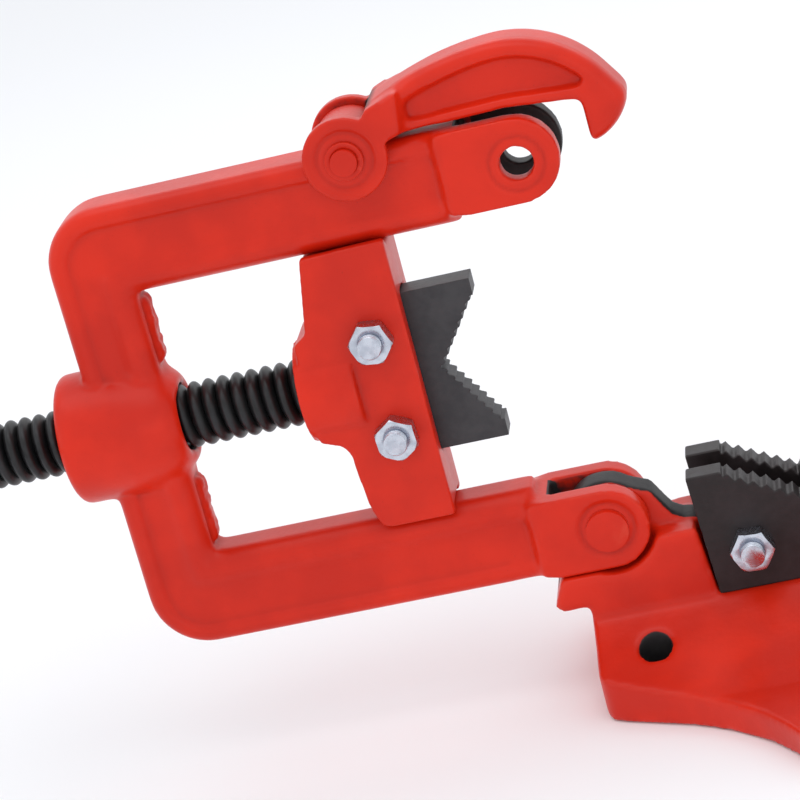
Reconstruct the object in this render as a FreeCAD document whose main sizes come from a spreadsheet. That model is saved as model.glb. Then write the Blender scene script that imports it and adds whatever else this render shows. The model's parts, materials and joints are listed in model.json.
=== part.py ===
import FreeCAD, Part
import math
import os
import re
import Sketcher

# A hinged-yoke pipe vise, standing on its foot with the yoke swung open.
# Row frame: +Z up, origin on the bench under the middle of the lower jaws,
# the yoke's hinge on the -X side, the pipe lying along Y, the front towards -Y.

SIZES = [
    # name, value in mm or the formula that gives it, what it is
    ("hinge_height", 72, "hinge pin above the bench"),
    ("half_span", 81.5, "hinge pin, and the far fork, from the middle of the vise"),
    ("pitch", 6.35, "advance of the screw in one turn"),
    ("run_gap", 0.05, "radial clearance of a turning pin"),
    ("seat_gap", 0.02, "radial clearance of a pin that stays put"),
    ("face_gap", 0.3, "gap between faces that turn past each other"),
    ("bury", 4, "reach of one block of a casting into the next"),
    ("slide_gap", 0.6, "clearance of rough cast faces that slide past each other"),
    # yoke
    ("arm_outer", 100.2, "outer edge of an arm from the screw axis"),
    ("arm_inner", 60.2, "inner edge of an arm from the screw axis"),
    ("arm_thick", 28, "thickness of the yoke's frame"),
    ("spine_outer", 201.7, "back of the spine from the hinge"),
    ("spine_inner", 168.5, "inner face of the spine from the hinge"),
    ("corner_round", 25, "outer corner radius of the yoke"),
    ("bevel_deep", 6, "bevel along the yoke's inner edges"),
    ("edge_round", 5.5, "rounding of the yoke's outer edges"),
    ("web_deep", 3, "depth of the panel sunk in the arms and the spine"),
    ("web_rim", 8, "outer rim left beside the sunk panel"),
    ("inner_rim", 5, "inner rim left beside the sunk panel"),
    ("fork_root", 32, "start of a fork from the hinge"),
    ("fork_thick", 35.5, "thickness of a fork"),
    ("fork_inner", 64.6, "inner edge of a fork from the screw axis"),
    ("fork_slot", 16, "width of a fork's slot"),
    ("slot_deep", 22, "end of a fork's slot from the hinge"),
    ("ring_outer", 13, "sunk ring round a fork's bore, outer radius"),
    ("ring_inner", 9.6, "sunk ring round a fork's bore, inner radius"),
    ("ring_deep", 1, "depth of a sunk ring"),
    ("boss_rad", 28.2, "radius of the boss round the screw"),
    ("boss_outer", 216, "outer end of the boss from the hinge"),
    ("boss_inner", 163.5, "inner end of the boss from the hinge"),
    ("boss_lip", 18, "radius of the boss at its inner end"),
    ("latch_back", 67, "latch pivot behind the hinge line"),
    ("latch_sink", 1.2, "latch pivot inside the arm's outer edge"),
    ("latch_side", "=arm_outer - latch_sink", "latch pivot from the screw axis"),
    ("latch_boss", 15, "radius of the boss that carries the latch"),
    # hinge pin
    ("pin_rad", 7, "radius of the hinge pin"),
    ("pin_head_rad", 9, "radius of the hinge pin's head"),
    ("pin_head_high", 3.2, "height of the hinge pin's head"),
    ("pin_tail", 8.5, "length of the hinge pin past the rear ear"),
    ("washer_rad", 11.5, "outer radius of the hinge washer"),
    ("washer_thick", 2, "thickness of a washer"),
    ("cotter_rad", 1.5, "radius of the cotter pin"),
    # latch
    ("ear_rad", 17.5, "radius of the latch's ears"),
    ("ear_thick", 5.6, "thickness of a latch ear"),
    ("lever_thick", 26, "thickness of the latch's lever"),
    ("lever_web", 5.5, "depth of the dished side of the lever"),
    ("lever_round", 5, "rounding of the lever's back"),
    ("heel_rad", 16.5, "radius of the lever's heel round its pivot"),
    ("lever_long", 115, "nose of the hook from its pivot"),
    ("crown_along", 67.9, "top of the lever's bow along from its pivot"),
    ("crown_high", 31.8, "top of the lever's bow above its pivot"),
    ("lever_under", 4.4, "underside of the lever above its pivot"),
    ("throat", 97.6, "inside of the hook from its pivot"),
    ("beak_drop", 17.6, "tip of the hook below its pivot"),
    ("crown_rim", 6.8, "rim above the dished side of the lever"),
    ("under_rim", 4.6, "rim below the dished side of the lever"),
    ("latch_pin_rad", 5.5, "radius of the latch pin"),
    ("latch_collar_rad", 8, "radius of the latch pin's collars"),
    ("latch_pin_end", 2.2, "length of the latch pin past a collar"),
    # jaw holder
    ("holder_face", 61, "front face of the jaw holder from the hinge"),
    ("holder_back", 97, "back of the jaw holder's cheeks from the hinge"),
    ("holder_thick", 33, "thickness of the jaw holder"),
    ("holder_reach", 62.2, "end of the cheeks from the screw axis"),
    ("rail_gap", 1, "cheek clear of the arm's bevel"),
    ("hub_rad", 22, "radius of the holder's hub"),
    ("hub_end", 112, "end of the hub from the hinge"),
    ("upper_thick", 13, "thickness of the upper jaw"),
    ("upper_half", 35.5, "half width of the upper jaw"),
    ("upper_tip", 32, "tips of the upper jaw from the hinge"),
    ("upper_root", 86, "root of the upper jaw from the hinge"),
    ("upper_vee", 28, "half width of the upper jaw's V"),
    ("upper_deep", 19, "depth of the upper jaw's V"),
    ("upper_teeth", 8, "teeth on each side of the upper jaw"),
    ("upper_tooth", 2.4, "height of an upper tooth"),
    ("holder_bolt_side", 21.6, "holder bolts from the screw axis"),
    ("holder_bolt_back", 76, "holder bolts from the hinge"),
    # lower jaws
    ("lower_thick", 12, "thickness of a lower jaw plate"),
    ("web_thick", 14, "web of the base between the plates"),
    ("lower_top", 15.4, "top of the lower jaws above the hinge"),
    ("lower_bottom", 38.6, "bottom of the lower jaws below the hinge"),
    ("lower_half", 45, "half width of a plate at its top"),
    ("lower_foot", 41.6, "half width of a plate at its bottom"),
    ("lower_vee", 30, "half width of the lower V"),
    ("lower_deep", 16, "depth of the lower V"),
    ("lower_teeth", 6, "teeth on each side of a plate"),
    ("lower_tooth", 2.6, "height of a lower tooth"),
    ("lower_bolt_side", 24, "plate bolts from the middle"),
    ("lower_bolt_drop", 19.5, "plate bolts below the hinge"),
    # M10 bolts
    ("bolt_rad", 5, "radius of an M10 bolt"),
    ("bolt_gap", 0.3, "clearance of a bolt in its hole"),
    ("nut_flat", 8.2, "centre of a hexagon to its flat"),
    ("nut_high", 8, "height of a nut"),
    ("head_high", 6.4, "height of a bolt head"),
    ("bolt_past", 4.5, "bolt end past its nut"),
    # screw and handle
    ("screw_rad", 14, "outer radius of the screw"),
    ("thread_deep", 3.6, "depth of the thread"),
    ("thread_gap", 0.3, "screw clear of the yoke's bore"),
    ("thread_end", 266, "end of the thread from the hinge"),
    ("neck_rad", 9.4, "radius of the screw's neck"),
    ("neck_gap", 0.1, "radial clearance of the neck"),
    ("neck_deep", 21, "depth of the neck inside the hub"),
    ("groove_back", 105, "groove of the neck from the hinge"),
    ("groove_wide", 4.4, "width of the neck's groove"),
    ("retainer_rad", 2, "radius of a retaining pin"),
    ("retainer_bite", 2.6, "depth of the neck's groove"),
    ("retainer_past", 11, "blind end of a retaining pin's hole before the screw's middle"),
    ("head_rad", 17, "radius of the screw's head"),
    ("head_long", 36, "length of the screw's head"),
    ("bar_rad", 6, "radius of the handle bar"),
    ("bar_gap", 0.08, "radial clearance of the bar in the head"),
    ("bar_long", 210, "length of the handle bar"),
    ("knob_rad", 10, "radius of a handle knob"),
    ("knob_long", 14, "length of a handle knob"),
    # base
    ("body_thick", 40, "thickness of the base's body"),
    ("foot_half", 97, "half length of the foot"),
    ("foot_depth", 50, "half depth of the foot at its ends"),
    ("foot_shoulder", 64, "half depth of the foot where its waist begins"),
    ("shoulder_side", 70, "start of the foot's waist from the middle"),
    ("waist_round", 113, "radius of the foot's waist"),
    ("lobe_reach", 114, "start of a lobe's round end"),
    ("lobe_half", 17.5, "half width of a lobe"),
    ("lobe_round", 18.5, "radius of a lobe's end"),
    ("foot_corner", 11, "corner radius of the foot"),
    ("apron_top", 33.4, "top of the apron at the body"),
    ("apron_low", 13.5, "height of the apron where it levels off"),
    ("apron_reach", 74, "where the apron levels off"),
    ("apron_round", 130, "radius of the apron's hollow"),
    ("foot_edge", 11.5, "thickness of a lobe at its tip"),
    ("foot_hole", 7, "radius of a foot bolt hole"),
    ("foot_hole_side", 71.6, "end holes from the middle, along X"),
    ("foot_hole_depth", 37, "end holes from the middle, along Y"),
    ("lobe_hole", 116, "lobe holes from the middle, along Y"),
    ("pocket_gap", 1.8, "pocket clear of a turning fork"),
    ("tongue_gap", 0.7, "tongue clear of a fork's slot, each side"),
    ("tongue_rad", 17, "radius of the tongue round the hinge"),
    ("tip_gap", 1.1, "hook's tip clear of the catch as it swings"),
    ("catch_reach", "=latch_side - beak_drop - tip_gap", "end of the catch from the middle"),
    ("catch_gap", 1, "catch clear of the inside of the hook"),
    ("shoulder_drop", 7, "shoulders of the body below the hinge"),
    ("tongue_drop", 27, "foot of a tongue below the hinge"),
    ("plate_seat", 0.3, "body clear of a jaw plate's end"),
    ("catch_wall", 76.2, "wall behind the catch from the middle"),
    ("stop_gap", 0.3, "fork above the stop when the yoke is open"),
]

doc = FreeCAD.newDocument("PipeVise")
sheet = doc.addObject("Spreadsheet::Sheet", "Sizes")
for line, (name, number, meaning) in enumerate(SIZES, 1):
    sheet.set(f"A{line}", meaning)
    sheet.set(f"B{line}", str(number))
    sheet.setAlias(f"B{line}", name)
doc.recompute()

ALIASES = {name for name, number, meaning in SIZES}

# Places used by several pieces, as formulas of the sheet's names.
EAR_MIDDLE = "(arm_outer + fork_inner) / 2"
EAR_RADIUS = "(arm_outer - fork_inner) / 2"
FORK_FACE = "fork_thick / 2"
EAR_FACE = "(arm_thick / 2 + face_gap + ear_thick)"
HOLDER_FACE = "holder_thick / 2"
PLATE_FACE = "(web_thick / 2 + lower_thick)"
POCKET_RADIUS = "(arm_outer - half_span + pocket_gap)"
TONGUE_THICK = "(fork_slot - 2 * tongue_gap)"
CATCH_UNDER = "(throat - latch_back - catch_gap)"
SCREW_HEAD = "(thread_end + head_long / 2 + 2)"


def formula(text):
    """Point each of the sheet's names in a formula at the sheet."""
    return re.sub(r"[a-z][a-z_]*", lambda word: "Sizes." + word[0] if word[0] in ALIASES else word[0], text)


def value(text):
    return float(sheet.evalExpression(formula(text)))


def plane(body, role):
    return [item for item in body.Origin.OriginFeatures if item.Role == role][0]


def place(item, x="0", y="0", z="0"):
    for axis, text in zip("xyz", (x, y, z)):
        item.setExpression(f"Placement.Base.{axis}", formula(text))


def new_body(label):
    body = doc.addObject("PartDesign::Body", label)
    body.Label = label
    return body


def yoke_frame(item):
    """Put the zero of a piece on the hinge line, at the height of the open yoke's screw."""
    place(item, "-half_span", "0", "hinge_height + half_span")


def new_sketch(body, name, role="XZ_Plane", offset="0"):
    sketch = body.newObject("Sketcher::SketchObject", name)
    sketch.AttachmentSupport = [(plane(body, role), "")]
    sketch.MapMode = "FlatFace"
    sketch.setExpression("AttachmentOffset.Base.z", formula(offset))
    return sketch


def pin_down(sketch, edge, end, x, y):
    """Hold one point of a sketch at x, y by two driving dimensions."""
    for kind, text in (("DistanceX", x), ("DistanceY", y)):
        rule = sketch.addConstraint(Sketcher.Constraint(kind, -1, 1, edge, end, value(text)))
        sketch.setExpression(f"Constraints[{rule}]", formula(text))


def outline(sketch, corners):
    """Close a loop through corners (x, y) or (x, y, radius, turn).

    A radius bends the side that leaves its corner; turn is the side that its centre is on.
    """
    first = sketch.GeometryCount
    points = [FreeCAD.Vector(value(corner[0]), value(corner[1]), 0) for corner in corners]
    ends = []
    for here, there, corner in zip(points, points[1:] + points[:1], corners):
        if len(corner) == 2:
            sketch.addGeometry(Part.LineSegment(here, there))
            ends.append((1, 2))
            continue
        radius = value(corner[2])
        way = there - here
        left = FreeCAD.Vector(-way.y, way.x, 0).normalize()
        rise = math.sqrt(max(radius ** 2 - (way.Length / 2) ** 2, 0))
        turn = 1 if corner[3] == "left" else -1
        middle = here + way * 0.5 + left * rise * turn
        start, stop = (here, there) if turn == 1 else (there, here)
        angles = [math.atan2(end.y - middle.y, end.x - middle.x) for end in (start, stop)]
        circle = Part.Circle(middle, FreeCAD.Vector(0, 0, 1), radius)
        sketch.addGeometry(Part.ArcOfCircle(circle, angles[0], angles[1]))
        ends.append((1, 2) if turn == 1 else (2, 1))
    count = len(corners)
    for side in range(count):
        after = (side + 1) % count
        sketch.addConstraint(
            Sketcher.Constraint("Coincident", first + side, ends[side][1], first + after, ends[after][0]))
    for side, corner in enumerate(corners):
        pin_down(sketch, first + side, ends[side][0], corner[0], corner[1])
        if len(corner) > 2:
            rule = sketch.addConstraint(Sketcher.Constraint("Radius", first + side, value(corner[2])))
            sketch.setExpression(f"Constraints[{rule}]", formula(corner[2]))


def ring(sketch, x, y, *radii):
    """Draw circles of the given radii round one centre."""
    for text in radii:
        centre = FreeCAD.Vector(value(x), value(y), 0)
        edge = sketch.addGeometry(Part.Circle(centre, FreeCAD.Vector(0, 0, 1), value(text)))
        pin_down(sketch, edge, 3, x, y)
        rule = sketch.addConstraint(Sketcher.Constraint("Radius", edge, value(text)))
        sketch.setExpression(f"Constraints[{rule}]", formula(text))


def feature(body, kind, sketch, length, side="Symmetric", reverse=False):
    """Pad or pocket a sketch by a length."""
    item = body.newObject(f"PartDesign::{kind}", f"{sketch.Name}{kind}")
    item.Profile = sketch
    item.SideType = side
    item.Reversed = reverse
    item.setExpression("Length", formula(length))
    sketch.Visibility = False
    doc.recompute()
    return item


def pad(body, sketch, length, side="Symmetric", reverse=False):
    return feature(body, "Pad", sketch, length, side, reverse)


def pocket(body, sketch, length, side="Symmetric", reverse=False):
    return feature(body, "Pocket", sketch, length, side, reverse)


def edges_near(shape, direction, places):
    """Name the straight edges along a direction whose middles pass near a place (None matches all)."""
    names = []
    for index, edge in enumerate(shape.Edges, 1):
        if len(edge.Vertexes) < 2 or edge.Curve.TypeId != "Part::GeomLine":
            continue
        if abs(abs(edge.Curve.Direction.dot(direction)) - 1) > 0.01:
            continue
        middle = edge.valueAt((edge.FirstParameter + edge.LastParameter) / 2)
        for spot in places:
            if all(want is None or abs(have - want) < 0.2 for have, want in zip(middle, spot)):
                names.append(f"Edge{index}")
                break
    return names


def dress(body, kind, base, names, **sizes):
    """Fillet or chamfer named edges of a feature."""
    item = body.newObject(f"PartDesign::{kind}", f"{base.Name}{kind}")
    item.Base = (base, names)
    for setting, text in sizes.items():
        item.setExpression(setting, formula(text))
    doc.recompute()
    return item


def round_corners(body, base, radius, corners):
    """Fillet the edges of a profile, seen along Y, at the given x, z corners."""
    spots = [(value(x), None, value(z)) for x, z in corners]
    names = edges_near(base.Shape, FreeCAD.Vector(0, 1, 0), spots)
    return dress(body, "Fillet", base, names, Radius=radius)


# ---------------------------------------------------------------- yoke

yoke = new_body("yoke_casting")
yoke_frame(yoke)

frame = new_sketch(yoke, "YokeFrame")
outline(frame, [
    ("-fork_root + bury", "arm_outer"), ("-spine_outer", "arm_outer"),
    ("-spine_outer", "-arm_outer"), ("-fork_root + bury", "-arm_outer"),
    ("-fork_root + bury", "-arm_inner"), ("-spine_inner", "-arm_inner"),
    ("-spine_inner", "arm_inner"), ("-fork_root + bury", "arm_inner"),
])
frame_pad = pad(yoke, frame, "arm_thick")
corners_round = round_corners(yoke, frame_pad, "corner_round", [
    ("-spine_outer", "arm_outer"), ("-spine_outer", "-arm_outer")])

# The bevel runs along the inner edges of both arms and of the spine.
bevel_depth = value("arm_thick / 2")
bevel_edges = []
for face in (bevel_depth, -bevel_depth):
    for side in ("arm_inner", "-arm_inner"):
        bevel_edges.append((None, face, value(side)))
    bevel_edges.append((value("-spine_inner"), face, 0))
names = edges_near(corners_round.Shape, FreeCAD.Vector(1, 0, 0), bevel_edges[:2] + bevel_edges[3:5])
names += edges_near(corners_round.Shape, FreeCAD.Vector(0, 0, 1), [bevel_edges[2], bevel_edges[5]])
bevel = dress(yoke, "Chamfer", corners_round, names, Size="bevel_deep")

# The outer edges are well rounded, front and rear.
rim_edges = []
for number, edge in enumerate(bevel.Shape.Edges, 1):
    middle = edge.valueAt((edge.FirstParameter + edge.LastParameter) / 2)
    on_face = abs(abs(middle.y) - bevel_depth) < 0.01
    outside = max(abs(middle.z) - value("arm_inner + bevel_deep"), -middle.x - value("spine_inner + bevel_deep"))
    if on_face and outside > 0.1 and middle.x < value("-fork_root + 3"):
        rim_edges.append(f"Edge{number}")
dress(yoke, "Fillet", bevel, rim_edges, Radius="edge_round")

# A panel sunk in the front and the rear runs round the arms and the spine, between two rims.
PANEL_OUT = "(arm_outer - web_rim)"
PANEL_IN = "(arm_inner + bevel_deep + inner_rim)"
PANEL_BACK = "(-spine_outer + web_rim)"
PANEL_TURN = "(corner_round - web_rim)"
PANEL_FRONT = "(-spine_inner - bevel_deep - inner_rim)"
for face, reverse in (("arm_thick / 2", False), ("-arm_thick / 2", True)):
    panel = new_sketch(yoke, f"Panel{'Rear' if reverse else 'Front'}", offset=face)
    outline(panel, [
        ("-fork_root", PANEL_OUT), (f"{PANEL_BACK} + {PANEL_TURN}", PANEL_OUT, PANEL_TURN, "left"),
        (PANEL_BACK, f"{PANEL_OUT} - {PANEL_TURN}"), (PANEL_BACK, f"-{PANEL_OUT} + {PANEL_TURN}", PANEL_TURN, "left"),
        (f"{PANEL_BACK} + {PANEL_TURN}", f"-{PANEL_OUT}"), ("-fork_root", f"-{PANEL_OUT}"),
        ("-fork_root", f"-{PANEL_IN}"), (PANEL_FRONT, f"-{PANEL_IN}"),
        (PANEL_FRONT, PANEL_IN), ("-fork_root", PANEL_IN),
    ])
    pocket(yoke, panel, "web_deep", "One side", reverse)

for side, sign in (("Upper", ""), ("Lower", "-")):
    block = new_sketch(yoke, f"{side}Fork")
    outline(block, [
        ("-fork_root", f"{sign}fork_inner"), ("0", f"{sign}fork_inner"),
        ("0", f"{sign}arm_outer"), ("-fork_root", f"{sign}arm_outer"),
    ])
    pad(yoke, block, "fork_thick")
    ear = new_sketch(yoke, f"{side}Ear")
    ring(ear, "0", f"{sign}{EAR_MIDDLE}", EAR_RADIUS)
    pad(yoke, ear, "fork_thick")

latch_boss = new_sketch(yoke, "LatchBoss")
ring(latch_boss, "-latch_back", "latch_side", "latch_boss")
pad(yoke, latch_boss, "arm_thick")

boss = new_sketch(yoke, "ScrewBoss")
outline(boss, [
    ("-boss_inner", "0"), ("-boss_inner", "boss_lip"), ("-spine_inner", "boss_rad - 5", "60", "left"),
    ("-spine_inner - 19", "boss_rad"), ("-boss_outer + 3", "boss_rad", "3.4", "left"),
    ("-boss_outer", "boss_rad - 3"), ("-boss_outer", "0"),
])
turned_boss = yoke.newObject("PartDesign::Revolution", "BossTurned")
turned_boss.Profile = boss
turned_boss.ReferenceAxis = (boss, ["H_Axis"])
turned_boss.Angle = 360
doc.recompute()

for side, sign in (("Upper", ""), ("Lower", "-")):
    slot = new_sketch(yoke, f"{side}Slot")
    outline(slot, [
        ("-slot_deep", f"{sign}(fork_inner - bury)"), ("slot_deep", f"{sign}(fork_inner - bury)"),
        ("slot_deep", f"{sign}(arm_outer + bury)"), ("-slot_deep", f"{sign}(arm_outer + bury)"),
    ])
    pocket(yoke, slot, "fork_slot")
    bore = new_sketch(yoke, f"{side}Bore")
    ring(bore, "0", f"{sign}half_span", "pin_rad + run_gap")
    pocket(yoke, bore, "fork_thick + 2")
    for face, reverse in ((FORK_FACE, False), (f"-{FORK_FACE}", True)):
        tag = "Rear" if reverse else "Front"
        sunk = new_sketch(yoke, f"{side}Ring{tag}", offset=face)
        ring(sunk, "0", f"{sign}half_span", "ring_outer", "ring_inner")
        pocket(yoke, sunk, "ring_deep", "One side", reverse)

latch_bore = new_sketch(yoke, "LatchBore")
ring(latch_bore, "-latch_back", "latch_side", "latch_pin_rad + seat_gap")
pocket(yoke, latch_bore, "fork_thick + 2")

screw_bore = new_sketch(yoke, "ScrewBore", "YZ_Plane", "-boss_inner + 1")
ring(screw_bore, "0", "0", "screw_rad + thread_gap")
pocket(yoke, screw_bore, "boss_outer - boss_inner + 2", "One side")

# ---------------------------------------------------------------- latch

latch = new_body("latch_hook")
yoke_frame(latch)

LEVER_START = ("-latch_back + heel_rad * cos(55 deg)", "latch_side + heel_rad * sin(55 deg)")
LEVER_HEEL = ("-latch_back + heel_rad * cos(11 deg)", "latch_side + heel_rad * sin(11 deg)")
LEVER_BACK = ("-latch_back + heel_rad - 3.8", "latch_side + heel_rad + 1.4", "128", "right")

lever = new_sketch(latch, "Lever")
outline(lever, [
    LEVER_BACK,
    ("-latch_back + crown_along", "latch_side + crown_high", "50", "right"),
    ("-latch_back + lever_long - 6.9", "latch_side + 11.7"),
    ("-latch_back + lever_long", "latch_side + 1.5", "7", "right"),
    ("-latch_back + lever_long", "latch_side - 4.5", "24", "right"),
    ("-latch_back + throat + 2.4", "latch_side - beak_drop", "2.4", "right"),
    ("-latch_back + throat + 0.3", "latch_side - beak_drop + 1.1"),
    ("-latch_back + throat", "latch_side + 1.4"),
    ("-latch_back + crown_along - 0.9", "latch_side + lever_under"),
    (*LEVER_HEEL, "heel_rad", "left"),
    LEVER_START,
])
lever_pad = pad(latch, lever, "lever_thick")
lever_corner = round_corners(latch, lever_pad, "2.5", [("-latch_back + throat", "latch_side + 1.4")])
back_edges = []
for number, edge in enumerate(lever_corner.Shape.Edges, 1):
    middle = edge.valueAt((edge.FirstParameter + edge.LastParameter) / 2)
    on_face = abs(abs(middle.y) - value("lever_thick / 2")) < 0.01
    if on_face and (middle.z > value("latch_side + 19") or middle.x > value("-latch_back + lever_long - 6")):
        back_edges.append(f"Edge{number}")
dress(latch, "Fillet", lever_corner, back_edges, Radius="lever_round")

for face, reverse in (("lever_thick / 2", False), ("-lever_thick / 2", True)):
    tag = "Rear" if reverse else "Front"
    dish = new_sketch(latch, f"Dish{tag}", offset=face)
    outline(dish, [
        ("-latch_back + 27", "latch_side + 15.4", "122", "right"),
        ("-latch_back + crown_along - 0.4", "latch_side + crown_high - crown_rim", "43", "right"),
        ("-latch_back + throat + 3.4", "latch_side + lever_under + 4.1"),
        ("-latch_back + throat + 0.4", "latch_side + lever_under + 2.2"),
        ("-latch_back + crown_along - 0.9", "latch_side + lever_under + under_rim"),
        ("-latch_back + 27", "latch_side + lever_under + under_rim - 1"),
    ])
    pocket(latch, dish, "lever_web", "One side", reverse)

bridge = new_sketch(latch, "Bridge")
outline(bridge, [
    LEVER_BACK,
    ("-latch_back + heel_rad + 10.5", "latch_side + 22.8"),
    ("-latch_back + heel_rad + 8.5", "latch_side + lever_under - 0.4"),
    (*LEVER_HEEL, "heel_rad", "left"),
    LEVER_START,
])
pad(latch, bridge, f"2 * {EAR_FACE}")

for face, reverse in (("arm_thick / 2 + face_gap", False), ("-arm_thick / 2 - face_gap", True)):
    tag = "Rear" if reverse else "Front"
    ear = new_sketch(latch, f"LatchEar{tag}", offset=face)
    ring(ear, "-latch_back", "latch_side", "ear_rad")
    pad(latch, ear, "ear_thick", "One side", reverse)
    groove = new_sketch(latch, f"EarRing{tag}", offset=EAR_FACE if not reverse else f"-{EAR_FACE}")
    ring(groove, "-latch_back", "latch_side", "ring_outer", "ring_inner")
    pocket(latch, groove, "ring_deep", "One side", reverse)

latch_hole = new_sketch(latch, "LatchHole")
ring(latch_hole, "-latch_back", "latch_side", "latch_pin_rad + run_gap")
pocket(latch, latch_hole, f"2 * {EAR_FACE} + 2")

# ---------------------------------------------------------------- jaw holder

holder = new_body("jaw_holder")
yoke_frame(holder)

cheeks = new_sketch(holder, "Cheeks")
outline(cheeks, [
    ("-holder_face", "holder_reach"), ("-holder_back", "holder_reach - 1"),
    ("-holder_back - 6", "hub_rad + 7"), ("-holder_back - 12", "hub_rad + 3"),
    ("-holder_back - 12", "-hub_rad + 3"), ("-holder_back - 4", "-hub_rad", "9", "right"),
    ("-holder_back - 0.5", "-hub_rad - 9"), ("-holder_back + 1", "-hub_rad - 26", "30", "left"),
    ("-holder_back + 5", "-holder_reach + 1"), ("-holder_back + 9", "-holder_reach"),
    ("-holder_face", "-holder_reach"),
])
pad(holder, cheeks, "holder_thick")

hub = new_sketch(holder, "Hub", "YZ_Plane", "-hub_end")
ring(hub, "0", "0", "hub_rad")
pad(holder, hub, "hub_end - holder_back + 10", "One side")

for side, sign in (("Upper", ""), ("Lower", "-")):
    rail = new_sketch(holder, f"{side}Rail")
    outline(rail, [
        ("-holder_face + 1", f"{sign}(arm_inner - slide_gap)"),
        ("-hub_end", f"{sign}(arm_inner - slide_gap)"),
        ("-hub_end", f"{sign}(arm_outer)"), ("-holder_face + 1", f"{sign}(arm_outer)"),
    ])
    pocket(holder, rail, "arm_thick - 2 * bevel_deep + 2 * rail_gap + 2 * (holder_reach - arm_inner)")

jaw_slot = new_sketch(holder, "JawSlot")
outline(jaw_slot, [
    ("-holder_face + 1", "upper_half + slide_gap / 2"), ("-upper_root", "upper_half + slide_gap / 2"),
    ("-upper_root", "-upper_half - slide_gap / 2"), ("-holder_face + 1", "-upper_half - slide_gap / 2"),
])
pocket(holder, jaw_slot, "upper_thick")

for side, sign in (("Upper", ""), ("Lower", "-")):
    hole = new_sketch(holder, f"{side}BoltHole")
    ring(hole, "-holder_bolt_back", f"{sign}holder_bolt_side", "bolt_rad + bolt_gap")
    pocket(holder, hole, "holder_thick + 2")
    hole = new_sketch(holder, f"{side}RetainerHole", offset="-hub_rad - 1")
    ring(hole, "-groove_back", f"{sign}(neck_rad - retainer_bite + retainer_rad + neck_gap)",
         "retainer_rad + seat_gap")
    pocket(holder, hole, "hub_rad + 1 + retainer_past", "One side", True)

neck_bore = new_sketch(holder, "NeckBore", "YZ_Plane", "-hub_end + neck_deep + 1")
ring(neck_bore, "0", "0", "neck_rad + neck_gap")
pocket(holder, neck_bore, "neck_deep + 2", "One side")

# ---------------------------------------------------------------- jaws


def teeth(start, stop, count, height, out):
    """Corners of a row of teeth from start to stop, their points raised by height along out."""
    corners = []
    for tooth in range(int(value(count))):
        for part, rise in ((tooth, "0"), (tooth + 0.5, height)):
            along = [f"({a}) + (({b}) - ({a})) * {part} / {count}" for a, b in zip(start, stop)]
            along[out] = f"{along[out]} + {rise}"
            corners.append(tuple(along))
    return corners


def jaw_bolt_holes(body, spots):
    for number, (x, z) in enumerate(spots, 1):
        hole = new_sketch(body, f"{body.Name}Hole{number}")
        ring(hole, x, z, "bolt_rad + bolt_gap")
        pocket(body, hole, "body_thick * 2")


upper = new_body("upper_jaw")
yoke_frame(upper)
bite = new_sketch(upper, "UpperBite")
TIP = "-upper_tip - upper_tooth"
APEX = ("-upper_tip - upper_tooth - upper_deep", "0")
outline(bite, [
    ("-upper_root + face_gap", "upper_half"), ("-upper_tip", "upper_half"), ("-upper_tip", "upper_vee"),
    *teeth((TIP, "upper_vee"), APEX, "upper_teeth", "upper_tooth", 0),
    *teeth(APEX, (TIP, "-upper_vee"), "upper_teeth", "upper_tooth", 0), (TIP, "-upper_vee"),
    ("-upper_tip", "-upper_vee"), ("-upper_tip", "-upper_half"), ("-upper_root + face_gap", "-upper_half"),
])
pad(upper, bite, "upper_thick")
jaw_bolt_holes(upper, [("-holder_bolt_back", "holder_bolt_side"), ("-holder_bolt_back", "-holder_bolt_side")])

for label, offset in (("lower_jaw_front", PLATE_FACE), ("lower_jaw_rear", "-web_thick / 2")):
    plate = new_body(label)
    place(plate, "0", "0", "hinge_height")
    bite = new_sketch(plate, f"{label}Bite", offset=offset)
    TOP = "lower_top - lower_tooth"
    APEX = ("0", "lower_top - lower_tooth - lower_deep")
    outline(bite, [
        ("-lower_foot", "-lower_bottom"), ("-lower_half", "lower_top"), ("-lower_vee", "lower_top"),
        *teeth(("-lower_vee", TOP), APEX, "lower_teeth", "lower_tooth", 1),
        *teeth(APEX, ("lower_vee", TOP), "lower_teeth", "lower_tooth", 1), ("lower_vee", TOP),
        ("lower_vee", "lower_top"), ("lower_half", "lower_top"), ("lower_foot", "-lower_bottom"),
    ])
    pad(plate, bite, "lower_thick", "One side", True)
    jaw_bolt_holes(plate, [("-lower_bolt_side", "-lower_bolt_drop"), ("lower_bolt_side", "-lower_bolt_drop")])

# ---------------------------------------------------------------- base

base = new_body("base_casting")

foot = new_sketch(base, "Foot", "XY_Plane")
outline(foot, [
    ("-foot_half", "-foot_depth"), ("-shoulder_side", "-foot_shoulder", "waist_round", "right"),
    ("-lobe_half", "-lobe_reach", "lobe_round", "left"), ("lobe_half", "-lobe_reach", "waist_round", "right"),
    ("shoulder_side", "-foot_shoulder"), ("foot_half", "-foot_depth"),
    ("foot_half", "foot_depth"), ("shoulder_side", "foot_shoulder", "waist_round", "right"),
    ("lobe_half", "lobe_reach", "lobe_round", "left"), ("-lobe_half", "lobe_reach", "waist_round", "right"),
    ("-shoulder_side", "foot_shoulder"), ("-foot_half", "foot_depth"),
])
foot_pad = pad(base, foot, "apron_top", "One side")
foot_corners = [(value(f"{x}foot_half"), value(f"{y}foot_depth"), None) for x in ("", "-") for y in ("", "-")]
names = edges_near(foot_pad.Shape, FreeCAD.Vector(0, 0, 1), foot_corners)
dress(base, "Fillet", foot_pad, names, Radius="foot_corner")

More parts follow.
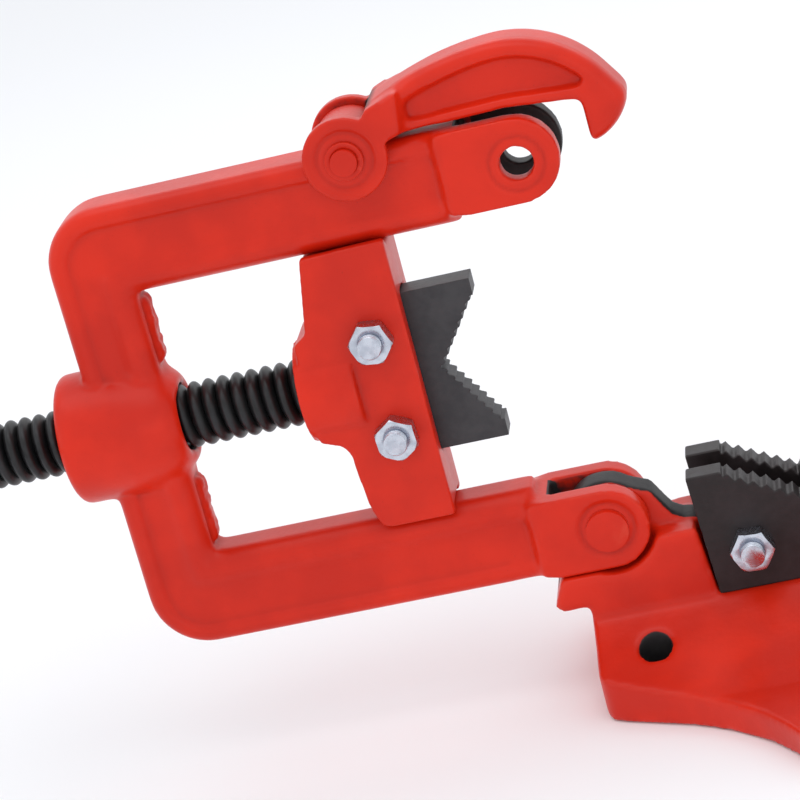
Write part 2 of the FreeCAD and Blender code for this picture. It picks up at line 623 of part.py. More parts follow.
# The apron falls away from the body in a hollow, front and rear.
apron = new_sketch(base, "Apron", "YZ_Plane")
for sign, turn in (("-", "right"), ("", "left")):
    outline(apron, [
        (f"{sign}body_thick / 2", "apron_top", "apron_round", turn),
        (f"{sign}apron_reach", "apron_low"), (f"{sign}(lobe_reach + 2 * lobe_round)", "foot_edge"),
        (f"{sign}(lobe_reach + 2 * lobe_round)", "apron_top + 5"), (f"{sign}body_thick / 2", "apron_top + 5"),
    ])
pocket(base, apron, "foot_half * 2 + 2")

# The hook swings down past this end, so the foot is low there.
notch = new_sketch(base, "HookNotch")
outline(notch, [
    ("catch_wall", "hinge_height - 54"), ("foot_half + 1", "hinge_height - 58"),
    ("foot_half + 1", "apron_top + 5"), ("catch_wall", "apron_top + 5"),
])
pocket(base, notch, "body_thick + 2")

body_side = new_sketch(base, "BodySide")
outline(body_side, [
    ("-foot_half", "apron_low"), ("-foot_half + 1", "hinge_height - 38.9"),
    ("-foot_half - 0.5", "hinge_height - 32.8"), ("-foot_half - 10.5", "hinge_height - 33.5"),
    ("-foot_half - 14", "hinge_height - 30.8"),
    ("-foot_half - 9", "hinge_height - (arm_outer - half_span) - stop_gap"),
    ("-half_span", "hinge_height - (arm_outer - half_span) - stop_gap"), ("-half_span", "hinge_height - shoulder_drop - 1"),
    ("-lower_half - 2", "hinge_height - shoulder_drop"), ("-lower_half - plate_seat", "hinge_height - shoulder_drop"),
    ("-lower_foot - plate_seat", "hinge_height - lower_bottom"), ("lower_foot + plate_seat", "hinge_height - lower_bottom"),
    ("lower_half + plate_seat", "hinge_height - shoulder_drop"), ("lower_half + 2", "hinge_height - shoulder_drop"),
    ("catch_reach", "hinge_height - shoulder_drop - 1"), ("catch_reach", f"hinge_height - {CATCH_UNDER}"),
    ("catch_wall", f"hinge_height - {CATCH_UNDER} + 0.6"), ("catch_wall", "apron_low"),
])
pad(base, body_side, "body_thick")

# Pockets for the ears of both forks, outside the tongues.
for side, sign in (("Left", "-"), ("Right", "")):
    for face, reverse in (("body_thick / 2 + 1", False), ("-body_thick / 2 - 1", True)):
        tag = "Rear" if reverse else "Front"
        ear_pocket = new_sketch(base, f"{side}Pocket{tag}", offset=face)
        ring(ear_pocket, f"{sign}half_span", "hinge_height", POCKET_RADIUS)
        pocket(base, ear_pocket, f"body_thick / 2 + 1 - {TONGUE_THICK} / 2", "One side", reverse)

tongue_round = new_sketch(base, "TongueRound")
ring(tongue_round, "-half_span", "hinge_height", "tongue_rad")
pad(base, tongue_round, TONGUE_THICK)

tongue = new_sketch(base, "Tongue")
outline(tongue, [
    ("-half_span - tongue_rad + 1", "hinge_height - tongue_drop"), ("-half_span - tongue_rad + 1", "hinge_height - 6"),
    ("-half_span", "hinge_height + 6"), ("-half_span + 11.4", "hinge_height + 12.6"),
    ("-half_span + 20.1", "hinge_height + 8.8"), ("-half_span + 27", "hinge_height - 3"),
    ("-half_span + 31", "hinge_height - 5.8"), ("-half_span + 38", "hinge_height - shoulder_drop"),
    ("-half_span + 38", "hinge_height - tongue_drop"),
])
pad(base, tongue, TONGUE_THICK)

catch_tongue = new_sketch(base, "CatchTongue")
outline(catch_tongue, [
    ("lower_half + 2", "hinge_height - tongue_drop"), ("lower_half + 2", "hinge_height - shoulder_drop"),
    ("half_span - 25", "hinge_height - 4"), ("half_span - 17", "hinge_height + 12"),
    ("half_span - 4", "hinge_height + 12"), ("half_span + 0.5", "hinge_height + 5"),
    ("catch_reach", "hinge_height - 12"), ("catch_reach", "hinge_height - tongue_drop"),
])
pad(base, catch_tongue, TONGUE_THICK)

web = new_sketch(base, "JawWeb")
outline(web, [
    ("-lower_half - 3", "hinge_height - lower_bottom - 2"), ("-lower_half - 3", "hinge_height - 12"),
    ("lower_half + 3", "hinge_height - 12"), ("lower_half + 3", "hinge_height - lower_bottom - 2"),
])
pad(base, web, "web_thick")

hinge_bore = new_sketch(base, "HingeBore")
ring(hinge_bore, "-half_span", "hinge_height", "pin_rad + seat_gap")
pocket(base, hinge_bore, "body_thick + 2")
for side, sign in (("Left", "-"), ("Right", "")):
    hole = new_sketch(base, f"{side}JawHole")
    ring(hole, f"{sign}lower_bolt_side", "hinge_height - lower_bolt_drop", "bolt_rad + bolt_gap")
    pocket(base, hole, "body_thick")

bolt_holes = new_sketch(base, "FootHoles", "XY_Plane", "apron_top + 1")
for x, y in [("-foot_hole_side", "-foot_hole_depth"), ("-foot_hole_side", "foot_hole_depth"),
             ("foot_hole_side", "-foot_hole_depth"), ("foot_hole_side", "foot_hole_depth"),
             ("0", "-lobe_hole"), ("0", "lobe_hole")]:
    ring(bolt_holes, x, y, "foot_hole")
pocket(base, bolt_holes, "apron_top + 2", "One side")

# ---------------------------------------------------------------- screw

screw = new_body("feed_screw")
yoke_frame(screw)
turned = new_sketch(screw, "ScrewProfile")
outline(turned, [
    ("-hub_end + neck_deep", "0"), ("-hub_end + neck_deep", "neck_rad - 1.5"),
    ("-hub_end + neck_deep - 1.5", "neck_rad"),
    ("-groove_back + groove_wide / 2", "neck_rad"), ("-groove_back + groove_wide / 2", "neck_rad - retainer_bite"),
    ("-groove_back - groove_wide / 2", "neck_rad - retainer_bite"), ("-groove_back - groove_wide / 2", "neck_rad"),
    ("-hub_end - face_gap", "neck_rad"), ("-hub_end - face_gap", "screw_rad - thread_deep"),
    ("-hub_end - 5", "screw_rad"), ("-thread_end", "screw_rad"), ("-thread_end - 2", "head_rad - 1"),
    ("-thread_end - 3", "head_rad"), ("-thread_end - head_long + 3", "head_rad"),
    ("-thread_end - head_long", "head_rad - 3"), ("-thread_end - head_long", "0"),
])
solid = screw.newObject("PartDesign::Revolution", "ScrewTurned")
solid.Profile = turned
solid.ReferenceAxis = (turned, ["H_Axis"])
solid.Angle = 360
doc.recompute()

cut = new_sketch(screw, "ThreadCut")
outline(cut, [
    ("-hub_end - 6", "screw_rad + 0.4"), ("-hub_end - 6 - pitch * 0.3", "screw_rad - thread_deep"),
    ("-hub_end - 6 - pitch * 0.5", "screw_rad - thread_deep"), ("-hub_end - 6 - pitch * 0.8", "screw_rad + 0.4"),
])
thread = screw.newObject("PartDesign::Groove", "ThreadGroove")
thread.Profile = cut
thread.ReferenceAxis = (cut, ["H_Axis"])
thread.Angle = 360
doc.recompute()
turns = int(value("(thread_end - hub_end - 6) / pitch"))
rings = screw.newObject("PartDesign::LinearPattern", "ThreadGrooves")
rings.Originals = [thread]
rings.Direction = (cut, ["H_Axis"])
rings.Reversed = True
rings.setExpression("Length", formula(f"pitch * {turns - 1}"))
rings.Occurrences = turns
screw.Tip = rings
doc.recompute()

cross = new_sketch(screw, "CrossHole")
ring(cross, f"-{SCREW_HEAD}", "0", "bar_rad + bar_gap")
pocket(screw, cross, "head_rad * 2 + 4")

# ---------------------------------------------------------------- turned and bought pieces


def rod(label, radius, front, length, frame=None, x="0", z="0"):
    """A round bar along Y: front is how far its front end stands before the middle plane."""
    item = doc.addObject("Part::Cylinder", label)
    item.Label = label
    item.setExpression("Radius", formula(radius))
    item.setExpression("Height", formula(length))
    item.Placement = FreeCAD.Placement(FreeCAD.Vector(), FreeCAD.Rotation(FreeCAD.Vector(1, 0, 0), -90))
    place(item, x, f"-({front})", z)
    return item


def hexagon(label, front, height, x, z, turn):
    """A hexagonal prism along Y, turned about its axis."""
    item = doc.addObject("Part::Prism", label)
    item.Label = label
    item.Polygon = 6
    item.setExpression("Circumradius", formula("nut_flat / cos(30 deg)"))
    item.setExpression("Height", formula(height))
    lie = FreeCAD.Rotation(FreeCAD.Vector(1, 0, 0), -90)
    item.Placement = FreeCAD.Placement(FreeCAD.Vector(), lie * FreeCAD.Rotation(FreeCAD.Vector(0, 0, 1), turn))
    place(item, x, f"-({front})", z)
    return item


def joined(kind, label, first, second):
    """Fuse two shapes, or cut the second from the first, under the first one's final name."""
    item = doc.addObject(f"Part::{kind}", label)
    item.Label = label
    item.Base = first
    item.Tool = second
    return item


def bolt_and_nut(name, half_thick, x, z, turn):
    """An M10 bolt, head to the rear, with its nut in front."""
    shank = rod(f"{name}_shank", "bolt_rad", f"{half_thick} + nut_high + bolt_past",
                f"2 * ({half_thick}) + nut_high + bolt_past + head_high / 2", x=x, z=z)
    head = hexagon(f"{name}_head", f"-({half_thick})", "head_high", x, z, turn + 12)
    bolt = joined("Fuse", f"{name}_bolt", shank, head)
    blank = hexagon(f"{name}_blank", f"{half_thick} + nut_high", "nut_high", x, z, turn)
    bore = rod(f"{name}_thread", "bolt_rad + seat_gap", f"{half_thick} + nut_high + 1",
               "nut_high + 2", x=x, z=z)
    nut = joined("Cut", f"{name}_nut", blank, bore)
    return [bolt, nut]


HINGE_X = "-half_span"
OPEN_AXIS = "(hinge_height + half_span)"
small = []
small += bolt_and_nut("holder_upper", HOLDER_FACE, "-half_span - holder_bolt_back",
                      f"{OPEN_AXIS} + holder_bolt_side", 8)
small += bolt_and_nut("holder_lower", HOLDER_FACE, "-half_span - holder_bolt_back",
                      f"{OPEN_AXIS} - holder_bolt_side", 26)
small += bolt_and_nut("plate_left", PLATE_FACE, "-lower_bolt_side", "hinge_height - lower_bolt_drop", 4)
small += bolt_and_nut("plate_right", PLATE_FACE, "lower_bolt_side", "hinge_height - lower_bolt_drop", 20)

# Hinge pin: head in front, washer and cotter behind.
PIN_FRONT = f"{FORK_FACE} + face_gap"
pin_shank = rod("hinge_pin_shank", "pin_rad", PIN_FRONT, f"{FORK_FACE} * 2 + face_gap + pin_tail",
                x=HINGE_X, z="hinge_height")
pin_head = rod("hinge_pin_head", "pin_head_rad", f"{PIN_FRONT} + pin_head_high", "pin_head_high",
               x=HINGE_X, z="hinge_height")
pin_blank = joined("Fuse", "hinge_pin_blank", pin_shank, pin_head)
COTTER_Y = f"({FORK_FACE} + face_gap + washer_thick + cotter_rad + 1.2)"


def upright(label, radius, length):
    """A small round bar along Z through the tail of the hinge pin."""
    item = doc.addObject("Part::Cylinder", label)
    item.Label = label
    item.setExpression("Radius", formula(radius))
    item.setExpression("Height", formula(length))
    place(item, HINGE_X, COTTER_Y, f"hinge_height - ({length}) / 2")
    return item


small.append(joined("Cut", "hinge_pin", pin_blank, upright("cotter_hole", "cotter_rad + seat_gap", "pin_rad * 4")))
small.append(upright("hinge_cotter", "cotter_rad", "pin_rad * 2 + 10"))
washer = rod("hinge_washer_blank", "washer_rad", f"-({FORK_FACE} + face_gap)", "washer_thick",
             x=HINGE_X, z="hinge_height")
washer_bore = rod("hinge_washer_bore", "pin_rad + seat_gap", f"-{FORK_FACE} + 1", "washer_thick * 3",
                  x=HINGE_X, z="hinge_height")
small.append(joined("Cut", "hinge_washer", washer, washer_bore))

# Latch pin with a collar at each end.
LATCH_X = "-half_span - latch_back"
LATCH_Z = f"{OPEN_AXIS} + latch_side"
COLLAR_FRONT = f"({EAR_FACE} + face_gap + washer_thick)"
small.append(rod("latch_pin", "latch_pin_rad", f"{COLLAR_FRONT} + latch_pin_end",
                 f"2 * ({COLLAR_FRONT} + latch_pin_end)", x=LATCH_X, z=LATCH_Z))
for label, front in (("latch_collar_front", COLLAR_FRONT), ("latch_collar_rear", f"-({EAR_FACE} + face_gap)")):
    blank = rod(f"{label}_blank", "latch_collar_rad", front, "washer_thick", x=LATCH_X, z=LATCH_Z)
    bore = rod(f"{label}_bore", "latch_pin_rad + seat_gap", f"{front} + 1", "washer_thick + 2",
               x=LATCH_X, z=LATCH_Z)
    small.append(joined("Cut", label, blank, bore))

# The two pins that hold the screw's neck in the hub.
for label, sign in (("retaining_pin_upper", ""), ("retaining_pin_lower", "-")):
    small.append(rod(label, "retainer_rad", "retainer_past - 0.5", "hub_rad + retainer_past - 3.1",
                     x="-half_span - groove_back",
                     z=f"{OPEN_AXIS} + {sign}(neck_rad - retainer_bite + retainer_rad + neck_gap)"))

# Handle: a sliding bar with a knob on each end.
HANDLE_X = f"-half_span - {SCREW_HEAD}"
small.append(rod("handle_bar", "bar_rad", "bar_long / 2", "bar_long", x=HANDLE_X, z=OPEN_AXIS))
for label, front in (("handle_knob_front", "bar_long / 2 + 2"),
                     ("handle_knob_rear", "-bar_long / 2 + knob_long - 2")):
    blank = rod(f"{label}_blank", "knob_rad", front, "knob_long", x=HANDLE_X, z=OPEN_AXIS)
    bore = rod(f"{label}_bore", "bar_rad + seat_gap", "bar_long / 2", "bar_long", x=HANDLE_X, z=OPEN_AXIS)
    small.append(joined("Cut", label, blank, bore))

# ---------------------------------------------------------------- check and export

doc.recompute()
pieces = [yoke, latch, holder, upper, base, screw] + small
pieces += [item for item in doc.Objects if item.Label in ("lower_jaw_front", "lower_jaw_rear")]
for item in doc.Objects:
    if "Invalid" in item.State or "Error" in item.State:
        raise RuntimeError(f"{item.Label} failed: {item.State}")
os.makedirs("parts", exist_ok=True)
for item in pieces:
    if item.Shape.isNull() or not item.Shape.isValid() or len(item.Shape.Solids) != 1:
        raise RuntimeError(f"{item.Label} has no sound solid")
for item in pieces:
    item.Shape.exportStep(f"parts/{item.Label}.step")
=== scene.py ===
import json
import math

import bpy
from mathutils import Matrix, Vector


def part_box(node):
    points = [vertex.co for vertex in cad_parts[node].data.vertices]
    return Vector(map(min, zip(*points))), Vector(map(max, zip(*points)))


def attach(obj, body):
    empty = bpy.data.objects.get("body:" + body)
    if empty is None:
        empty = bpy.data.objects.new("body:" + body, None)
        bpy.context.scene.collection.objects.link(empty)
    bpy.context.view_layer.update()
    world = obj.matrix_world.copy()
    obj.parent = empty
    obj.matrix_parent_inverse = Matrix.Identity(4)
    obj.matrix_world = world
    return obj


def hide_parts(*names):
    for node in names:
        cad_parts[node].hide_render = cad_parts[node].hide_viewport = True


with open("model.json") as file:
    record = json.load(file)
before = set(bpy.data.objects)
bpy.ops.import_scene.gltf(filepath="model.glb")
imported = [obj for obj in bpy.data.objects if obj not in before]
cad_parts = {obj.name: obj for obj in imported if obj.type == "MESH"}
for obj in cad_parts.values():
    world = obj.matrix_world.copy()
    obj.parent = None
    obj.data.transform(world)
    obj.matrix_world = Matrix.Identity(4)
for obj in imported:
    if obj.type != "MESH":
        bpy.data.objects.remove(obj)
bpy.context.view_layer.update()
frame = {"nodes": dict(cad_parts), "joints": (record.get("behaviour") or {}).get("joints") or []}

nodes = frame["nodes"]
joints = {joint["name"]: joint for joint in frame["joints"]}
bpy.ops.object.select_all(action="DESELECT")

# ---------------------------------------------------------------- stage
# A pale floor under the foot, an even bright sky, a soft light overhead and three weaker
# ones from the left, the front and behind, as for a plain product view.

FLOOR_SIZE = 12.0
FLOOR_COLOUR = (0.92, 0.92, 0.93, 1)
SKY_COLOUR = (0.95, 0.97, 1.0, 1)
SKY_LIGHT = 1.0


class Sock:
    """A shader socket that arithmetic can be done on."""

    def __init__(self, tree, socket):
        self.tree = tree
        self.socket = socket

    def node(self, kind, settings=None, output=0, **values):
        """Any other node: its settings first, then its sockets, by name or as i0, i1 and so on."""
        made = self.tree.nodes.new(kind)
        for name, setting in (settings or {}).items():
            setattr(made, name, setting)
        for name, given in values.items():
            numbered = name[1:].isdigit()
            socket = made.inputs[int(name[1:]) if numbered else name.replace("_", " ")]
            if isinstance(given, Sock):
                self.tree.links.new(given.socket, socket)
            else:
                socket.default_value = given
        return Sock(self.tree, made.outputs[output])

    def sum_with(self, operation, first, second):
        return self.node("ShaderNodeMath", {"operation": operation}, i0=first, i1=second)

    def __add__(self, other):
        return self.sum_with("ADD", self, other)

    def __radd__(self, other):
        return self.sum_with("ADD", other, self)

    def __sub__(self, other):
        return self.sum_with("SUBTRACT", self, other)

    def __rsub__(self, other):
        return self.sum_with("SUBTRACT", other, self)

    def __mul__(self, other):
        return self.sum_with("MULTIPLY", self, other)

    def __rmul__(self, other):
        return self.sum_with("MULTIPLY", other, self)

    def __abs__(self):
        return self.sum_with("ABSOLUTE", self, 0.0)

    def joined_to(self, other):
        """The larger of two masks."""
        return self.sum_with("MAXIMUM", self, other)

    def length(self):
        """How long a vector is."""
        return self.node("ShaderNodeVectorMath", {"operation": "LENGTH"}, output=1, i0=self)

    def part(self, axis):
        """One coordinate: 0, 1 or 2."""
        return self.node("ShaderNodeSeparateXYZ", output=axis, Vector=self)

    def stretched(self, x, y, z):
        """The same place with its axes scaled, for a grain that runs one way."""
        return self.node("ShaderNodeVectorMath", {"operation": "MULTIPLY"}, i0=self, i1=(x, y, z))

    def noise(self, scale, detail=3.0, roughness=0.5):
        return self.node("ShaderNodeTexNoise",
                         Vector=self, Scale=scale, Detail=detail, Roughness=roughness)

    def band(self, low, high):
        """0 below low, 1 above high, smooth between."""
        return self.node("ShaderNodeMapRange", {"interpolation_type": "SMOOTHSTEP"},
                         Value=self, From_Min=low, From_Max=high)

    def mix(self, first, second):
        """A colour between two, by this factor."""
        return self.node("ShaderNodeMix", {"data_type": "RGBA"}, output=2,
                         i0=self, i6=first, i7=second)


def new_material(name):
    """A material with its shader and the piece's own coordinates, in metres."""
    material = bpy.data.materials.new(name)
    material.use_nodes = True
    shader = material.node_tree.nodes["Principled BSDF"]
    coordinates = material.node_tree.nodes.new("ShaderNodeTexCoord")
    return material, shader, Sock(material.node_tree, coordinates.outputs["Object"])


def feed(shader, **sockets):
    """Set or link the shader's own sockets."""
    for name, given in sockets.items():
        socket = shader.inputs[name.replace("_", " ")]
        if isinstance(given, Sock):
            given.tree.links.new(given.socket, socket)
        else:
            socket.default_value = given


def relief(height, strength, distance):
    """A bump normal from a height between 0 and 1, distance in metres."""
    return height.node("ShaderNodeBump", Strength=strength, Distance=distance, Height=height)


def edges_of(place, low, high):
    """0 in flats and hollows, 1 on outer edges, from how sharply the surface turns there."""
    return place.node("ShaderNodeNewGeometry", output=7).band(low, high)


bpy.ops.mesh.primitive_plane_add(size=FLOOR_SIZE, location=(0, 0, -0.0005))
floor = bpy.context.object
floor.name = "floor"
paper, shader, place = new_material("pale_paper")
feed(shader, Base_Color=FLOOR_COLOUR, Roughness=0.9)
floor.data.materials.append(paper)

world = bpy.data.worlds.new("soft_sky")
bpy.context.scene.world = world
world.use_nodes = True
sky = world.node_tree.nodes["Background"]
sky.inputs["Color"].default_value = SKY_COLOUR
sky.inputs["Strength"].default_value = SKY_LIGHT
bpy.context.scene.view_settings.view_transform = "Standard"


def lamp(name, spot, aim, size, power):
    """A soft area light at a spot, facing an aim."""
    light = bpy.data.lights.new(name, "AREA")
    light.shape = "RECTANGLE"
    light.size, light.size_y = size
    light.energy = power
    stand = bpy.data.objects.new(name, light)
    bpy.context.scene.collection.objects.link(stand)
    stand.location = spot
    stand.rotation_euler = (Vector(aim) - Vector(spot)).to_track_quat("-Z", "Y").to_euler()


hinge = Vector(joints["yoke_hinge"]["pos_m"])
lamp("overhead", hinge + Vector((-0.1, -0.2, 1.3)), hinge, (1.3, 0.7), 3.2)
lamp("left_fill", hinge + Vector((-1.3, -0.9, 0.5)), hinge, (0.9, 0.9), 0.8)
lamp("front_fill", hinge + Vector((0.6, -1.6, 0.45)), hinge, (1.2, 0.6), 0.8)
lamp("rim", hinge + Vector((0.2, 1.2, 0.9)), hinge, (1.6, 0.3), 2)

# ---------------------------------------------------------------- camera
# It stands in front and a little to the right, looks down on the yoke's screw and
# leans to one side, so that the open yoke runs uphill across the view.

TURN = math.radians(10.101)
TILT = math.radians(18.909)
LEAN = math.radians(15.166)
DISTANCE = 1.231484
FOCAL_PIXELS = 2918.55
FRAME_PIXELS = 800
SENSOR = 36.0
AIM_BACK = 0.074157
AIM_UP = 0.068821
aim = Vector((hinge.x - AIM_BACK, 0, hinge.z + AIM_UP))
forward = Vector((-math.sin(TURN) * math.cos(TILT), math.cos(TURN) * math.cos(TILT),
                  -math.sin(TILT)))
level = Vector((math.cos(TURN), math.sin(TURN), 0))
upward = level.cross(forward)
right = level * math.cos(LEAN) - upward * math.sin(LEAN)
above = level * math.sin(LEAN) + upward * math.cos(LEAN)
view = bpy.data.cameras.new("camera")
view.sensor_width = SENSOR
view.lens = SENSOR / FRAME_PIXELS * FOCAL_PIXELS
camera = bpy.data.objects.new("camera", view)
bpy.context.scene.collection.objects.link(camera)
turned = Matrix((right, above, -forward)).transposed().to_4x4()
turned.translation = aim - forward * DISTANCE
camera.matrix_world = turned
bpy.context.scene.camera = camera

# ---------------------------------------------------------------- yoke
# One iron casting: two arms, a spine with the screw's boss, and two forks. Its edges are
# fettled and it is dipped in red enamel; the fork slots and the bore stay bare and oiled,
# and the free fork's rear ear is painted dark as painted shade.

# dark iron colours, for bare metal and for painted shade
BARE_IRON_AND_SHADE = (0.014, 0.013, 0.014, 1)
BARE_IRON_AND_SHADE_WORN = (0.045, 0.040, 0.040, 1)
ENAMEL = (0.69, 0.021, 0.0045, 1)
ENAMEL_DEEP = (0.56, 0.015, 0.0035, 1)
# painted highlight colour for the outer edges
ENAMEL_PAINTED_HIGHLIGHT = (0.66, 0.050, 0.024, 1)
# painted shade colour for the hollows
ENAMEL_PAINTED_SHADE = (0.22, 0.006, 0.004, 1)
ENAMEL_DUST = (0.25, 0.014, 0.010, 1)
AXIS_HIGH = hinge.z + 0.0815
MERGE = 0.000005


def red_enamel(name, bare_and_shade=None, sand=1.0):
    """Red paint with painted shade in hollows and painted highlights on edges; the optional mask
    function paints its zones as dark iron: bare metal, and painted shade where the mask says so.
    """
    material, shader, place = new_material(name)
    drift = (place.noise(16, 2) * 0.7 + place.noise(70, 3) * 0.3).band(0.36, 0.64)
    colour = drift.mix(ENAMEL_DEEP, ENAMEL)
    # Painted shade: hollows darkened towards a deep red, as if in shadow.
    hollow_shade = 1 - edges_of(place, 0.44, 0.50)
    colour = (hollow_shade * 0.55).mix(colour, ENAMEL_PAINTED_SHADE)
    # Painted highlight: outer edges lighter and pinker, broken up by noise.
    edge_highlight = edges_of(place, 0.515, 0.58) * place.noise(150, 4).band(0.40, 0.62)
    colour = (edge_highlight * 0.6).mix(colour, ENAMEL_PAINTED_HIGHLIGHT)
    dust = place.noise(1300, 2).band(0.69, 0.76)
    colour = (dust * 0.3).mix(colour, ENAMEL_DUST)
    roughness = place.noise(45, 3) * 0.16 + place.noise(700, 2) * 0.10 + 0.22
    peel = place.noise(520, 2) * 0.22
    height = peel + place.noise(130, 4) * 0.45 * sand + place.noise(34, 2) * 0.7 * sand
    if bare_and_shade:
        # Dark iron over the zones: bare metal, and painted shade where the mask paints it.
        zone = bare_and_shade(place, place.noise(260, 3) * 0.0006)
        iron = place.noise(180, 4).mix(BARE_IRON_AND_SHADE, BARE_IRON_AND_SHADE_WORN)
        colour = zone.mix(colour, iron)
        feed(shader, Metallic=zone * 0.5)
        roughness = roughness + zone * 0.18
    feed(shader, Base_Color=colour, Roughness=roughness, Normal=relief(height, 0.30, 0.0006))
    feed(shader, Coat_Weight=0.05, Coat_Roughness=0.2, Specular_IOR_Level=0.24)
    return material


def copy_of(node, name):
    """A piece of its own from a solid, with the loose triangles merged."""
    bpy.ops.object.select_all(action="DESELECT")
    piece = bpy.data.objects.new(name, nodes[node].data.copy())
    bpy.context.scene.collection.objects.link(piece)
    piece.data.materials.clear()
    piece.select_set(True)
    bpy.context.view_layer.objects.active = piece
    bpy.ops.object.mode_set(mode="EDIT")
    bpy.ops.mesh.select_all(action="SELECT")
    bpy.ops.mesh.remove_doubles(threshold=MERGE)
    bpy.ops.object.mode_set(mode="OBJECT")
    return piece


def apply_modifier(piece, kind, **settings):
    """Add a modifier, set it and apply it."""
    bpy.context.view_layer.objects.active = piece
    modifier = piece.modifiers.new(kind.lower(), kind)
    for name, setting in settings.items():
        setattr(modifier, name, setting)
    bpy.ops.object.modifier_apply(modifier=modifier.name)


def cast_skin(piece, voxel, rounds):
    """Even faces all over, then every edge softened as a mould leaves it."""
    apply_modifier(piece, "REMESH", mode="VOXEL", voxel_size=voxel)
    apply_modifier(piece, "SMOOTH", factor=0.5, iterations=rounds)
    bpy.ops.object.select_all(action="DESELECT")
    piece.select_set(True)
    bpy.ops.object.shade_smooth()


def select_near(piece, wanted):
    """In edit mode, select just the vertices that wanted(place) picks."""
    bpy.context.view_layer.objects.active = piece
    bpy.ops.object.mode_set(mode="EDIT")
    bpy.ops.mesh.select_mode(type="VERT")
    bpy.ops.mesh.select_all(action="DESELECT")
    bpy.ops.object.mode_set(mode="OBJECT")
    for vertex in piece.data.vertices:
        vertex.select = wanted(vertex.co)
    bpy.ops.object.mode_set(mode="EDIT")


def fillet_more(piece, wanted, repeat):
    """Blend one zone of a skin further, where the pattern had larger fillets."""
    select_near(piece, wanted)
    bpy.ops.mesh.vertices_smooth(factor=0.5, repeat=repeat)
    bpy.ops.object.mode_set(mode="OBJECT")


def stand_for(piece, node, body, material):
    """Give a finished piece its material, hang it on the body it rides on and hide the part it
    stands for.
    """
    piece.data.materials.clear()
    piece.data.materials.append(material)
    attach(piece, body)
    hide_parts(node)


SLOT_END = hinge.x - 0.0229
EAR_END = hinge.x - 0.0169
FREE_FORK_LOW = 0.205
PAINT_LINE = 0.0003


def yoke_bare_and_shade(place, ragged):
    """The bare fork slots and screw's bore, and painted shade on the free fork's rear ear along its
    edges.
    """
    along, depth = place.part(0), place.part(1)
    slot = 1 - (abs(depth) + ragged).band(0.0081, 0.0085)
    slot = slot * along.band(SLOT_END - PAINT_LINE, SLOT_END + PAINT_LINE)
    # Painted shade: the free fork's rear ear is dark all over but for its rear face.
    rear = (depth + ragged).band(0.0070, 0.0074) * (1 - depth.band(0.0168, 0.0172))
    rear = rear * along.band(EAR_END - PAINT_LINE, EAR_END + PAINT_LINE)
    rear = rear * place.part(2).band(FREE_FORK_LOW, FREE_FORK_LOW + 0.001)
    from_axis = place.node("ShaderNodeVectorMath", {"operation": "MULTIPLY_ADD"},
                           i0=place, i1=(0, 1, 1), i2=(0, 0, -AXIS_HIGH)).length()
    bore = 1 - (from_axis + ragged).band(0.0147, 0.0152)
    return slot.joined_to(rear).joined_to(bore)


def yoke_flank(co):
    """The rims beside the sunk panel, and the ends of the forks' blocks."""
    along, across = hinge.x - co.x, abs(co.z - AXIS_HIGH)
    inner_rim = abs(co.y) > 0.0070 and across < 0.0790 and 0.028 < along < 0.188
    fork_end = abs(co.y) > 0.0100 and 0.026 < along < 0.045
    return inner_rim or fork_end


def spine_seam(co):
    """The middle of the spine's inner face, on both sides of the boss."""
    on_face = abs(co.x - SPINE_FACE) < 0.0012 and abs(co.y) < 0.0042
    return on_face and 0.0270 < abs(co.z - AXIS_HIGH) < 0.0570


YOKE_VOXEL = 0.00118
SPINE_FACE = hinge.x - 0.1685
FLASH_HIGH = 0.0026

yoke_skin = copy_of("yoke_casting", "yoke_cast")
cast_skin(yoke_skin, YOKE_VOXEL, 4)
fillet_more(yoke_skin, yoke_flank, 24)
fillet_more(yoke_skin, lambda co: hinge.x - co.x > 0.024, 5)

# The mould's halves left a rough flash on the seam, which nobody ground off.
select_near(yoke_skin, spine_seam)
bpy.ops.transform.translate(value=(FLASH_HIGH, 0, 0))
bpy.ops.transform.vertex_random(offset=0.0015, uniform=0.5, normal=0.3, seed=4)
bpy.ops.mesh.vertices_smooth(factor=0.5, repeat=3)
bpy.ops.object.mode_set(mode="OBJECT")
stand_for(yoke_skin, "yoke_casting", "yoke", red_enamel("yoke_enamel", yoke_bare_and_shade))

# ---------------------------------------------------------------- base
# An iron casting with a coarser skin: a foot with six drilled holes, a body, a hinge tongue
# and a catch tongue. Red enamel; the tongues and the web between the jaws are bare, and the
# holes are darkened inside as painted shade.

BASE_VOXEL = 0.00135
END_HOLES = (0.0716, 0.037)
LOBE_HOLES = (0.0, 0.116)


def base_bare_and_shade(place, ragged):
    """The bare tongues and web's edge between the jaw plates, and painted shade in the bench bolts'
    holes.
    """
    slot = 1 - (abs(place.part(1)) + ragged).band(0.0068, 0.0073)
    zone = slot * place.part(2).band(0.0440, 0.0450)
    # Painted shade: the bench bolts' holes are dark inside, as if in shadow.
    for across, along in (END_HOLES, LOBE_HOLES):
        from_hole = place.node("ShaderNodeCombineXYZ", i0=abs(place.part(0)) - across,
                               i1=abs(place.part(1)) - along).length()
        zone = zone.joined_to(1 - from_hole.band(0.0071, 0.0074))
    return zone


base_skin = copy_of("base_casting", "base_cast")
cast_skin(base_skin, BASE_VOXEL, 7)
stand_for(base_skin, "base_casting", "base", red_enamel("base_enamel", base_bare_and_shade, 1.25))

# ---------------------------------------------------------------- latch
# A cast iron hook with two ears that straddle the yoke and a dished lever. Its ears run into
# the narrower lever, and the dish into its rims, with large fillets. The ears are bare inside.

LATCH_X = hinge.x - 0.067


